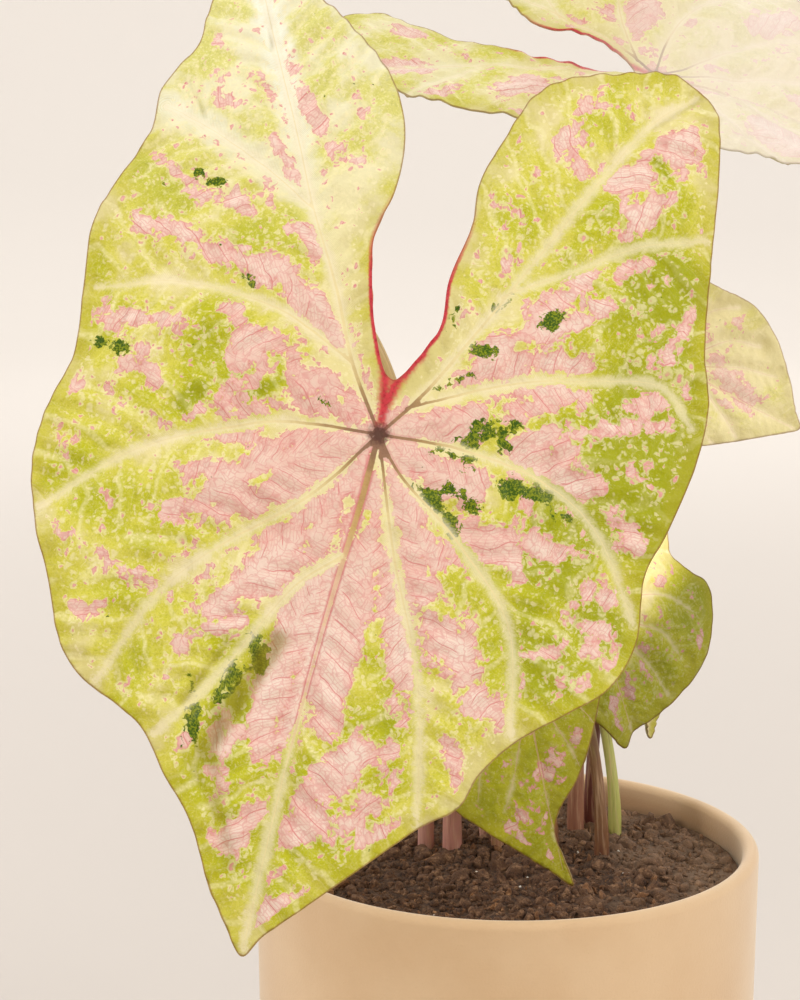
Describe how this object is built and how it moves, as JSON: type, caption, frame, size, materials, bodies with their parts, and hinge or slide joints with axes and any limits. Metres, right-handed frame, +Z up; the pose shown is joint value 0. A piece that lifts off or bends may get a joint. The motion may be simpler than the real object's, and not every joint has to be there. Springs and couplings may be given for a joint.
{
  "type": "potted caladium",
  "caption": "Potted caladium: heart-shaped green and pink leaves on long stalks, growing from tubers in soil in a plain round pot.",
  "frame": {"origin": "centre of the pot's flat base", "axes": "+Z up along the pot's axis, the largest leaf's face towards -Y"},
  "size_m": [0.2546, 0.2712, 0.4016],
  "materials": {
    "pot": "matte, unglazed",
    "soil": "loose and crumbly",
    "tuber": "rough skin",
    "leaf": "satin, thin",
    "stalk": "smooth"
  },
  "bodies": {
    "root": {"pot": "pot", "soil": "soil", "tuber_left": "tuber", "tuber_right": "tuber", "blade_front": "leaf", "blade_low": "leaf", "blade_side": "leaf", "blade_under": "leaf", "blade_far": "leaf", "blade_top": "leaf", "blade_left": "leaf", "blade_rear": "leaf", "stalk_front": "stalk", "stalk_low": "stalk", "stalk_side": "stalk", "stalk_under": "stalk", "stalk_far": "stalk", "stalk_top": "stalk", "stalk_left": "stalk", "stalk_rear": "stalk", "young_leaf": "stalk"}
  },
  "joints": []
}
